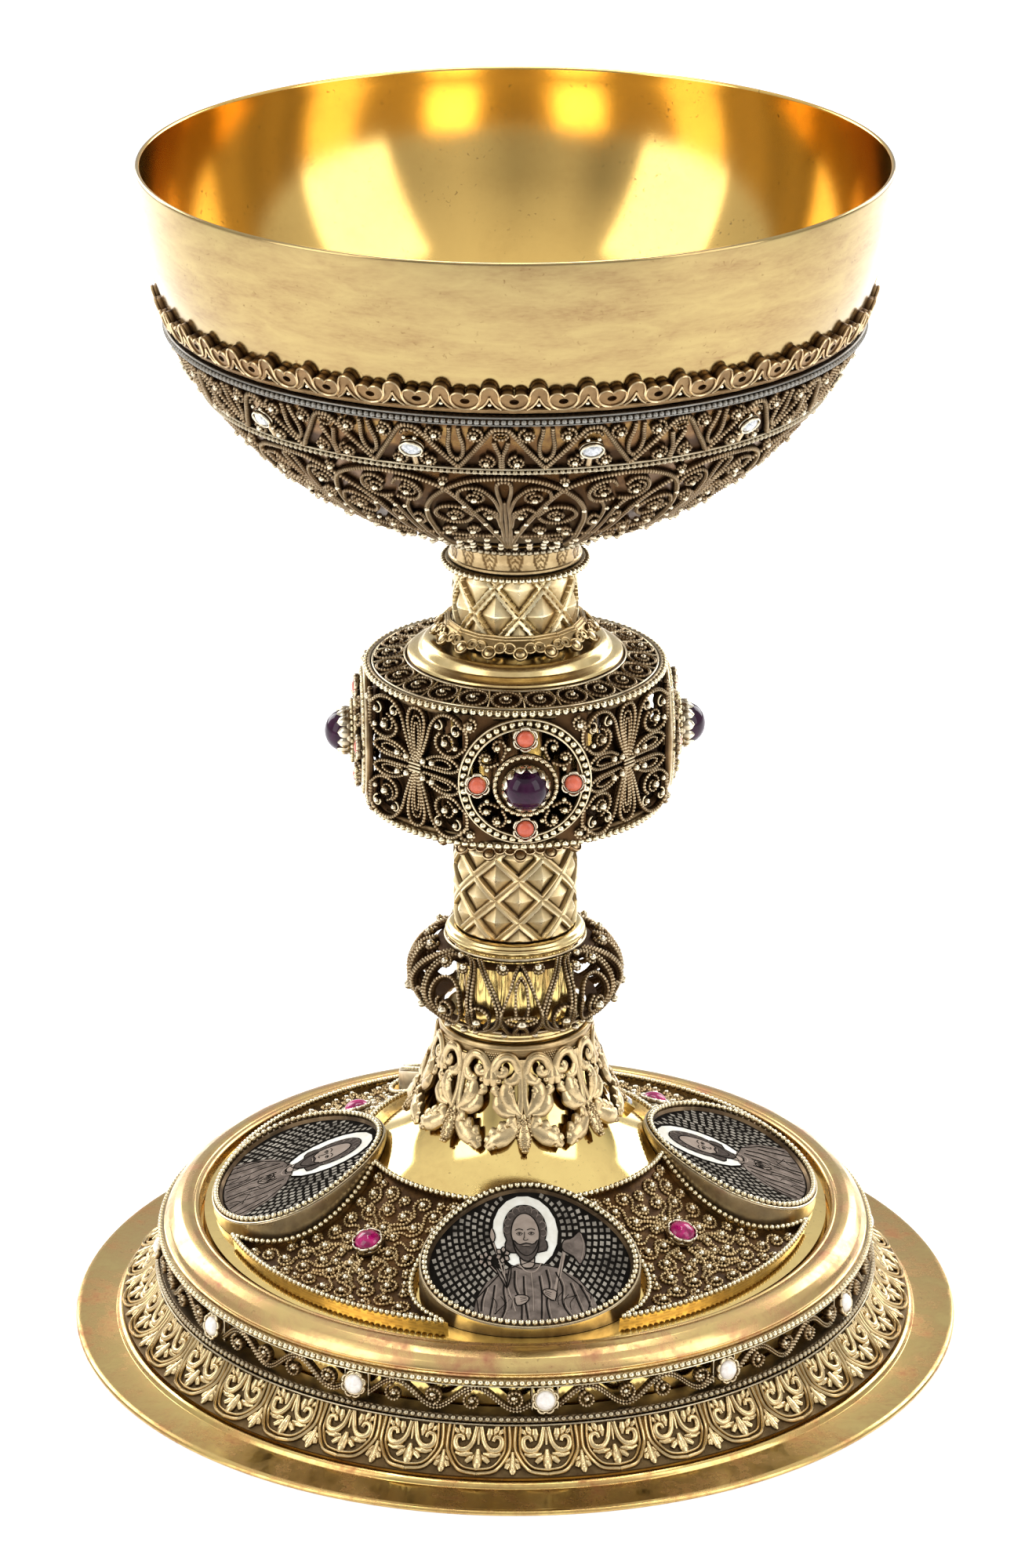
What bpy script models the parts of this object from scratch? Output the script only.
"""Communion chalice: a spun cup in a filigree calyx, a jewelled knop, a sleeved stem and a spreading foot.

Every piece is threaded on one tie rod, which a nut and a washer tighten from under the foot.
Lengths are in millimetres and become metres where meshes are made. The origin is the centre of the
resting plane, +Z is up and the front is -Y. Angles round the axis are in degrees from the front.
"""

import math

import bmesh
import bpy
from mathutils import Matrix, Vector

MM = 0.001
GAP = 0.3  # clearance between pieces that touch

# Driving dimensions
HEIGHT = 235.0
CUP_RADIUS = 70.0
CUP_WALL = 0.9
FOOT_RADIUS = 87.6
TURN = 3.6  # how far the ornament is turned from the front
RING_STEPS = 28
STEM_STEPS = 20
FRINGE = [(12.4, 145.0), (13.2, 145.0), (15.9, 142.6), (15.9, 141.9), (12.4, 141.9)]  # the one over the knop
LOWER_FRINGE_DROP = 39.7  # from the fringe over the knop to the one under it
GEM_STEPS = 12
SIDES = {"front": 0, "right": 90, "back": 180, "left": 270}
CORNERS = {"front_right": 45, "back_right": 135, "back_left": 225, "front_left": 315}

# Calyx: shells round the cup's centre, given by the angle below the rim
SHELL_INSIDE = CUP_RADIUS + GAP
SHELL_OUTSIDE = CUP_RADIUS + 1.0
TRIM_INSIDE = SHELL_OUTSIDE + GAP
FILIGREE_OUTSIDE = SHELL_OUTSIDE + 1.4
BEAD_OUTSIDE = SHELL_OUTSIDE + 1.6
ARC_STEP = 10  # degrees between the points of a spherical outline

# Tie rod
ROD_RADIUS = 3.0
ROD_HOLE = 3.9

# Stem and knop
SLEEVE_RADIUS = 12.1
SLEEVE_BORE = 10.9
KNOP_RADIUS = 28.2  # to the flats of the eight-sided drum
KNOP_SIDES = 8
KNOP_LOW = 109.8
KNOP_HIGH = 136.2
KNOP_MIDDLE = (KNOP_LOW + KNOP_HIGH) / 2
KNOP_BEAD_INSIDE = 27.7
KNOP_MEDALLION_RADIUS = 12.4
KNOP_MEDALLION_RISE = 2.9  # from the knop's wall to the top of the domed medallion

# Foot: outline of the gold surface from the neck out to the shoulder, then the wall behind the gallery
FOOT_WALL = 0.9
FOOT_SLOPE = [
    (13.2, 62.4), (14.2, 56.5), (16.0, 50.0), (18.6, 44.4), (22.5, 39.7), (28.5, 35.2),
    (35.0, 31.0), (42.7, 27.2), (50.0, 24.5), (61.6, 22.2),
]
SHOULDER = 18.9
DRUM_RADIUS = 66.2
PALMETTE_TOP = (70.8, 9.9)
PALMETTE_BOTTOM = (78.3, 3.1)
PALMETTE_SAG = 0.9  # how far the palmette band's hollow lies inside its chord
FLANGE_TOP = 1.4

# Medallions on the foot: egg-shaped, flat, and tilted down the slope
MEDALLION_INNER = 26.8
MEDALLION_OUTER = 58.8
MEDALLION_HALF_WIDTH = 19.6
MEDALLION_TILT = math.radians(22)
MEDALLION_OUTER_HEIGHT = 25.0
MEDALLION_POINTS = 24
FRAME_CLEARANCE = 0.6  # under the frame's wall, whose straight edges bridge the foot's curve
PANEL_INNER = 28.9
PANEL_OUTER = 58.4
PANEL_THICKNESS = 1.1
PANEL_CLEARANCE = 2.4  # from the medallion's bead line to the panel's edge
STONE_RADIUS = 42.7  # where the rubies stand

FINISHES = {
    "polished_gold": ((0.83, 0.60, 0.22), 0.12, 1.0),
    "filigree": ((0.52, 0.38, 0.20), 0.38, 1.0),
    "beads": ((0.80, 0.72, 0.52), 0.28, 1.0),
    "chased_gold": ((0.70, 0.54, 0.27), 0.30, 1.0),
    "enamel": ((0.05, 0.04, 0.035), 0.12, 0.0),
    "ruby": ((0.55, 0.02, 0.16), 0.05, 0.0),
    "amethyst": ((0.10, 0.03, 0.13), 0.05, 0.0),
    "steel": ((0.45, 0.45, 0.46), 0.35, 1.0),
}


def start_scene():
    for obj in list(bpy.data.objects):
        bpy.data.objects.remove(obj)
    collection = bpy.data.collections.new("communion_chalice")
    bpy.context.scene.collection.children.link(collection)
    return collection


PARTS = start_scene()


def paint(obj, finish):
    """Give the object a material of its own, made from the named finish."""
    color, roughness, metallic = FINISHES[finish]
    material = bpy.data.materials.new(obj.name + "_" + finish)
    material.use_nodes = True
    shader = material.node_tree.nodes["Principled BSDF"]
    shader.inputs["Base Color"].default_value = (*color, 1)
    shader.inputs["Roughness"].default_value = roughness
    shader.inputs["Metallic"].default_value = metallic
    if not obj.data.materials:
        obj.data.materials.append(None)
    obj.material_slots[0].link = "OBJECT"
    obj.material_slots[0].material = material


def add(name, mesh, finish, place=None):
    obj = bpy.data.objects.new(name, mesh)
    PARTS.objects.link(obj)
    paint(obj, finish)
    if place:
        obj.matrix_world = place
    return obj


def profile_mesh(name, outline):
    """The outline as a wire of edges at +X; it closes on itself unless both ends lie on the axis."""
    closes = outline[0][0] > 0 or outline[-1][0] > 0
    count = len(outline)
    edges = [(i, (i + 1) % count) for i in range(count if closes else count - 1)]
    mesh = bpy.data.meshes.new(name)
    mesh.from_pydata([(r * MM, 0, z * MM) for r, z in outline], edges, [])
    return mesh


def screw(obj, steps):
    """Sweep the object's profile a full turn about its own Z axis."""
    turn = obj.modifiers.new("turn", "SCREW")
    turn.angle = math.tau
    turn.steps = steps
    turn.render_steps = steps
    turn.use_merge_vertices = True
    turn.merge_threshold = 1e-6
    return turn


def turned(name, outline, finish, steps=RING_STEPS, place=None):
    """A turned solid. The outline runs down the outer side, top to bottom, then up the inner side."""
    obj = add(name, profile_mesh(name, outline), finish, place)
    screw(obj, steps)
    return obj


def turned_shell(name, outline, wall, finish, steps=RING_STEPS):
    """A spun sheet: the outline is its outer side, top to bottom, and the wall lies inside it."""
    mesh = bpy.data.meshes.new(name)
    edges = [(i, i + 1) for i in range(len(outline) - 1)]
    mesh.from_pydata([(r * MM, 0, z * MM) for r, z in outline], edges, [])
    obj = add(name, mesh, finish)
    screw(obj, steps)
    sheet = obj.modifiers.new("wall", "SOLIDIFY")
    sheet.thickness = wall * MM
    sheet.offset = -1
    sheet.use_even_offset = True
    return obj


def ring(name, inner, outer, low, high, finish, steps=RING_STEPS):
    """A plain ring with a rectangular section."""
    return turned(name, [(inner, high), (outer, high), (outer, low), (inner, low)], finish, steps)


def arc(radius, first, last):
    """Points on a circle round the rim's centre, from one angle below the rim to another."""
    inner_angles = [a for a in range(0, 91, ARC_STEP) if min(first, last) < a < max(first, last)]
    angles = [min(first, last), *inner_angles, max(first, last)]
    if first > last:
        angles.reverse()
    return [
        (radius * math.cos(math.radians(a)) if a < 90 else 0, HEIGHT - radius * math.sin(math.radians(a)))
        for a in angles
    ]


def calyx_band(name, inside, outside, first, last, finish):
    """A spherical band round the cup, between two angles below the rim."""
    return turned(name, arc(outside, first, last) + arc(inside, last, first), finish)


def around(angle):
    """A quarter-turn placement: turns a piece modelled at the front to its angle round the axis."""
    return Matrix.Rotation(math.radians(angle + TURN), 4, "Z")


def facing(angle, radius, height, lean):
    """A frame on the chalice's skin: Z points out and up by lean (90 is straight up), Y points up the skin."""
    out = Matrix.Translation((0, -radius * MM, height * MM)) @ Matrix.Rotation(
        math.radians(90 - lean), 4, "X"
    )
    return around(angle) @ out


def cabochon(name, radius, rise, girdle, finish, place):
    """A low domed stone on a straight girdle, with its base at its origin."""
    dome = [
        (0 if a == 90 else radius * math.cos(math.radians(a)), girdle + rise * math.sin(math.radians(a)))
        for a in (90, 60, 30, 0)
    ]
    return turned(name, [*dome, (radius, 0), (0, 0)], finish, GEM_STEPS, place)


def foot_height(radius):
    """Height of the foot's gold surface at a radius."""
    for (r0, z0), (r1, z1) in zip(FOOT_SLOPE, FOOT_SLOPE[1:]):
        if radius <= r1:
            return z0 + (z1 - z0) * (radius - r0) / (r1 - r0)
    return FOOT_SLOPE[-1][1]


def palmette_outline(inwards, last=1):
    """The palmette band's hollow face, top to bottom, moved inwards by a distance; last ends it early."""
    (r0, z0), (r1, z1) = PALMETTE_TOP, PALMETTE_BOTTOM
    chord = math.hypot(r1 - r0, z1 - z0)
    normal = ((z0 - z1) / chord, (r1 - r0) / chord)
    points = []
    for step in range(4):
        share = last * step / 3
        depth = inwards + PALMETTE_SAG * 4 * share * (1 - share)
        radius = r0 + (r1 - r0) * share - normal[0] * depth
        height = z0 + (z1 - z0) * share - normal[1] * depth
        points.append((radius, height))
    return points


def medallion_outline(grow, count):
    """The egg in its own plane, grown outwards: X is across and Y is up the slope."""
    half_length = (MEDALLION_OUTER - MEDALLION_INNER) / 2 / math.cos(MEDALLION_TILT)
    points = []
    for i in range(count):
        t = math.tau * i / count
        c, s = math.cos(t), math.sin(t)
        fullness = 1 - 0.17 * c - 0.07 * c * c
        across = MEDALLION_HALF_WIDTH * s * fullness
        turn_x = MEDALLION_HALF_WIDTH * (c * fullness + s * (0.17 * s + 0.14 * c * s))
        turn_y = -half_length * s
        size = math.hypot(turn_x, turn_y)
        points.append((across - turn_y / size * grow, half_length * c + turn_x / size * grow))
    return points


def medallion_plane(angle=-TURN):
    """The frame of a medallion's plane, at the front unless an angle is given."""
    middle = (MEDALLION_INNER + MEDALLION_OUTER) / 2
    height = MEDALLION_OUTER_HEIGHT + (MEDALLION_OUTER - middle) * math.tan(MEDALLION_TILT)
    return facing(angle, middle, height, 90 - math.degrees(MEDALLION_TILT))


def flat_outline(name, outlines, low, high):
    """A mesh in the XY plane between two heights; a second outline inside the first is a hole."""
    curve = bpy.data.curves.new(name, "CURVE")
    curve.dimensions = "2D"
    curve.fill_mode = "BOTH"
    curve.extrude = (high - low) / 2 * MM
    for points in outlines:
        spline = curve.splines.new("POLY")
        spline.points.add(len(points) - 1)
        for point, (x, y) in zip(spline.points, points):
            point.co = (x * MM, y * MM, 0, 1)
        spline.use_cyclic_u = True
    helper = bpy.data.objects.new(name + "_outline", curve)
    PARTS.objects.link(helper)
    bpy.context.view_layer.update()
    mesh = bpy.data.meshes.new_from_object(helper.evaluated_get(bpy.context.evaluated_depsgraph_get()))
    bpy.data.objects.remove(helper)
    shape = bmesh.new()
    shape.from_mesh(mesh)
    bmesh.ops.remove_doubles(shape, verts=shape.verts, dist=1e-6)
    bmesh.ops.translate(shape, verts=shape.verts, vec=(0, 0, (high + low) / 2 * MM))
    bmesh.ops.recalc_face_normals(shape, faces=shape.faces)
    shape.to_mesh(mesh)
    shape.free()
    mesh.name = name
    return mesh


def make_cup():
    turned_shell("cup", arc(CUP_RADIUS, 0, 90), CUP_WALL, "polished_gold")


def make_calyx():
    shell = arc(SHELL_OUTSIDE, 24.1, 83)
    turned("calyx_shell", shell + arc(SHELL_INSIDE, 83, 24.1), "chased_gold")
    calyx_band("calyx_crest", CUP_RADIUS + 0.5, CUP_RADIUS + 1.4, 19, 23.7, "chased_gold")
    calyx_band("crest_bead_ring", TRIM_INSIDE, BEAD_OUTSIDE, 24.4, 25.4, "beads")
    calyx_band("upper_filigree_band", TRIM_INSIDE, FILIGREE_OUTSIDE, 25.9, 34.6, "filigree")
    calyx_band("middle_bead_ring", TRIM_INSIDE, BEAD_OUTSIDE, 35.1, 36.0, "beads")
    calyx_band("lower_filigree_band", TRIM_INSIDE, FILIGREE_OUTSIDE, 36.5, 76, "filigree")
    ring("lower_bead_ring", 14.1, 15.6, 162.6, 164.0, "beads", STEM_STEPS)


def make_upper_stem():
    ring("engraved_collar", 11.6, 13.3, 158.2, 164.4, "chased_gold", STEM_STEPS)
    ring("collar_bead_ring", SLEEVE_BORE, 14.3, 156.7, 157.9, "beads", STEM_STEPS)
    ring("upper_sleeve", SLEEVE_BORE, SLEEVE_RADIUS, 142.1, 156.4, "chased_gold", STEM_STEPS)
    turned("upper_fringe", FRINGE, "chased_gold", STEM_STEPS)
    cap = [
        (ROD_HOLE, 141.6), (17.0, 141.6), (17.9, 141.0), (18.6, 139.9), (20.6, 138.9),
        (20.6, 138.2), (18.8, 138.2), (16.9, 140.4), (ROD_HOLE, 140.4),
    ]
    turned("knop_cap", cap, "polished_gold", STEM_STEPS)


def make_knop():
    plate_drop = KNOP_HIGH - 0.2
    top_plate = [
        (ROD_HOLE, 137.9), (20.9, 137.9), (27.3, plate_drop + 0.3), (27.3, plate_drop - 0.5),
        (20.9, 136.9), (ROD_HOLE, 136.9),
    ]
    turned("knop_top_plate", top_plate, "filigree", STEM_STEPS)
    bottom_plate = [(r, KNOP_LOW + KNOP_HIGH - z) for r, z in reversed(top_plate)]
    turned("knop_bottom_plate", bottom_plate, "filigree", STEM_STEPS)
    for name, height in (("knop_top_bead_ring", KNOP_HIGH), ("knop_bottom_bead_ring", KNOP_LOW)):
        ring(name, KNOP_BEAD_INSIDE, 29.0, height - 0.65, height + 0.65, "beads", STEM_STEPS)
    corner = 1 / math.cos(math.pi / KNOP_SIDES)
    high, low = KNOP_HIGH - 1.0, KNOP_LOW + 1.0
    wall = [(27.2 * corner, high), (KNOP_RADIUS * corner, high), (KNOP_RADIUS * corner, low), (27.2 * corner, low)]
    turned("knop_drum", wall, "filigree", KNOP_SIDES, around(180 / KNOP_SIDES))
    ring("knop_core", 15.6, 16.5, KNOP_LOW - 0.3, KNOP_HIGH + 0.3, "polished_gold", STEM_STEPS)
    rim = KNOP_MEDALLION_RADIUS
    face = KNOP_MEDALLION_RISE
    disc = [
        (0, face), (6.0, face - 0.3), (rim - 1.1, 0.8), (rim - 0.5, 1.3), (rim, 0.9), (rim, 0), (rim - 0.9, 0),
        (5.5, face - 1.2), (0, face - 0.9),
    ]
    for side, angle in SIDES.items():
        plane = facing(angle, KNOP_RADIUS + GAP, KNOP_MIDDLE, 0)
        turned("knop_medallion_" + side, disc, "filigree", STEM_STEPS, plane)
        seat = facing(angle, KNOP_RADIUS + GAP + face + GAP, KNOP_MIDDLE, 0)
        cabochon("amethyst_" + side, 4.0, 3.6, 1.6, "amethyst", seat)


def make_lower_stem():
    ring("lower_sleeve", SLEEVE_BORE, SLEEVE_RADIUS, 83.0, 107.6, "chased_gold", STEM_STEPS)
    lower_fringe = [(r, z - LOWER_FRINGE_DROP) for r, z in FRINGE]
    turned("lower_fringe", lower_fringe, "chased_gold", STEM_STEPS)
    ring("lower_stem_ring", ROD_HOLE, 13.6, 80.3, 82.7, "polished_gold", STEM_STEPS)
    bulb = [
        (13.4, 80.0), (17.2, 78.6), (19.8, 76.0), (20.7, 73.2), (20.0, 70.2), (17.8, 67.3), (14.2, 65.0),
    ]
    turned_shell("small_knop", bulb, 1.0, "filigree", STEM_STEPS)
    ring("small_knop_core", 10.6, 11.5, 64.9, 80.0, "polished_gold", STEM_STEPS)
    ring("trumpet_ring", ROD_HOLE, 14.2, 62.8, 64.6, "polished_gold", STEM_STEPS)


def make_foot():
    wall_bottom = palmette_outline(1.25, 0.92)
    surface = [*FOOT_SLOPE, (62.0, SHOULDER), (DRUM_RADIUS, SHOULDER), (DRUM_RADIUS, 9.6)]
    turned_shell("foot_body", surface + wall_bottom, FOOT_WALL, "polished_gold")
    neck = [(13.3, 61.9), *[point for point in FOOT_SLOPE if 45 < point[1] < 60], (18.2, 45.6)]
    collar = [(r + 1.6, z + 0.2) for r, z in neck] + [(r + 0.6, z) for r, z in reversed(neck)]
    turned("foliate_collar", collar, "chased_gold")
    step = [
        (62.6, 23.1), (64.6, 23.4), (67.2, 22.7), (69.2, 21.1), (69.6, 19.5), (62.6, 19.5),
    ]
    turned("foot_step", step, "polished_gold")
    ring("gallery_top_ring", DRUM_RADIUS + 0.5, 70.9, 18.1, 19.1, "beads")
    ring("gallery_band", 69.0, 69.8, 12.1, 17.7, "filigree")
    ring("gallery_bottom_ring", DRUM_RADIUS + 0.5, 71.4, 10.5, 11.7, "beads")
    turned("palmette_band", palmette_outline(0) + palmette_outline(0.9)[::-1], "chased_gold")
    flange = [
        (70.0, FLANGE_TOP), (76.9, FLANGE_TOP), (77.5, 1.9), (78.4, 2.1), (79.2, 1.7), (79.5, 1.1), (86.9, 0.9),
        (FOOT_RADIUS, 0.6), (FOOT_RADIUS, 0), (70.0, 0),
    ]
    turned("base_flange", flange, "polished_gold")


def medallion_frame_mesh():
    """The egg-shaped frame, whose wall runs from its tilted rim straight down to the foot's surface."""
    outlines = [medallion_outline(1.3, MEDALLION_POINTS), medallion_outline(-0.4, MEDALLION_POINTS)]
    mesh = flat_outline("medallion_frame", outlines, 0, 0.6)
    mesh.transform(medallion_plane())
    to_plane = medallion_plane().inverted()
    shape = bmesh.new()
    shape.from_mesh(mesh)
    for vertex in shape.verts:
        if (to_plane @ vertex.co).z < 0.3 * MM:
            radius = math.hypot(vertex.co.x, vertex.co.y) / MM
            vertex.co.z = (foot_height(radius) + FRAME_CLEARANCE) * MM
    shape.to_mesh(mesh)
    shape.free()
    return mesh


def panel_mesh():
    """A filigree panel between two medallions: its sides follow the frames and its face follows the foot."""
    half_outline = medallion_outline(PANEL_CLEARANCE, 60)[:31]
    tilt = math.cos(MEDALLION_TILT)
    middle = (MEDALLION_INNER + MEDALLION_OUTER) / 2
    side = [(math.hypot(x, middle - y * tilt), math.atan2(x, middle - y * tilt)) for x, y in half_outline]

    def side_angle(radius):
        for (r0, a0), (r1, a1) in zip(side, side[1:]):
            if r0 <= radius <= r1:
                return a0 + (a1 - a0) * (radius - r0) / (r1 - r0)
        return 0

    shape = bmesh.new()
    bmesh.ops.create_grid(shape, x_segments=5, y_segments=6, size=1)
    for vertex in shape.verts:
        radius = PANEL_INNER + (PANEL_OUTER - PANEL_INNER) * (vertex.co.y + 1) / 2
        angle = vertex.co.x * (math.radians(45) - side_angle(radius))
        height = foot_height(radius) + GAP + 0.1
        vertex.co = Vector((radius * math.sin(angle), -radius * math.cos(angle), height)) * MM
    bmesh.ops.recalc_face_normals(shape, faces=shape.faces)
    if sum(face.normal.z for face in shape.faces) < 0:
        bmesh.ops.reverse_faces(shape, faces=shape.faces)
    mesh = bpy.data.meshes.new("filigree_panel")
    shape.to_mesh(mesh)
    shape.free()
    return mesh


def make_foot_ornament():
    frame = medallion_frame_mesh()
    plaque = flat_outline("enamel_plaque", [medallion_outline(-0.8, MEDALLION_POINTS)], -0.6, -0.1)
    plaque.transform(medallion_plane())
    for side, angle in SIDES.items():
        add("medallion_frame_" + side, frame.copy(), "chased_gold", around(angle))
        add("enamel_plaque_" + side, plaque.copy(), "enamel", around(angle))
    panel = panel_mesh()
    panel_top = foot_height(STONE_RADIUS) + GAP + 0.1 + PANEL_THICKNESS
    for corner, angle in CORNERS.items():
        sheet = add("filigree_panel_" + corner, panel.copy(), "filigree", around(angle))
        thicken = sheet.modifiers.new("thickness", "SOLIDIFY")
        thicken.thickness = PANEL_THICKNESS * MM
        thicken.offset = 1
        seat = facing(angle, STONE_RADIUS, panel_top + 0.9, 66)
        cabochon("ruby_" + corner, 2.6, 1.5, 0.7, "ruby", seat)


def make_fastening():
    """The tie rod hangs from the cup's underside; the washer bears in the neck and the nut pulls on it."""
    head_top = HEIGHT - CUP_RADIUS - GAP
    rod = [(0, head_top), (6.5, head_top), (6.5, 163.2), (ROD_RADIUS, 163.2), (ROD_RADIUS, 37.0), (0, 37.0)]
    turned("tie_rod", rod, "steel", 16)
    ring("neck_washer", ROD_HOLE, 14.8, 46.8, 48.0, "steel", STEM_STEPS)
    turned("clamp_nut", [(ROD_HOLE, 46.5), (7.0, 46.5), (7.0, 41.5), (ROD_HOLE, 41.5)], "steel", 6)


make_cup()
make_calyx()
make_upper_stem()
make_knop()
make_lower_stem()
make_foot()
make_foot_ornament()
make_fastening()
